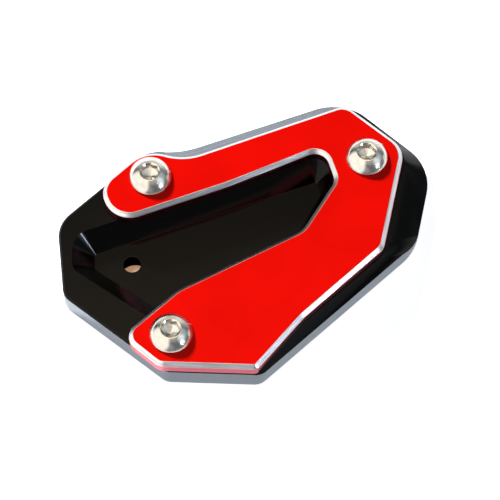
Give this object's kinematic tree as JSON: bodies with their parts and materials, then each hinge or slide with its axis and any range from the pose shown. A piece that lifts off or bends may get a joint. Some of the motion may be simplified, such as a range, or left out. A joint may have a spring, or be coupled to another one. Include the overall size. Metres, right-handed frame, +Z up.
{
  "type": "kickstand foot enlarger",
  "caption": "Wide machined foot for a motorcycle side stand: black base plate with a sloping pocket, under a red U-shaped clamp plate held by button head screws.",
  "frame": {"origin": "centre of the part's outline, on the flat underside that rests on the ground", "axes": "+X along the length from the open left end towards the ramped right end, +Z up out of the pocket"},
  "size_m": [0.0905, 0.0744, 0.0132],
  "materials": {
    "base_black": "black anodised, fine milled",
    "clamp_red": "red anodised with bright cut chamfers",
    "screw_steel": "polished stainless steel"
  },
  "bodies": {
    "root": {"base_plate": "base_black", "clamp_plate": "clamp_red", "screw_arm": "screw_steel", "screw_toe": "screw_steel", "screw_front": "screw_steel"}
  },
  "joints": []
}
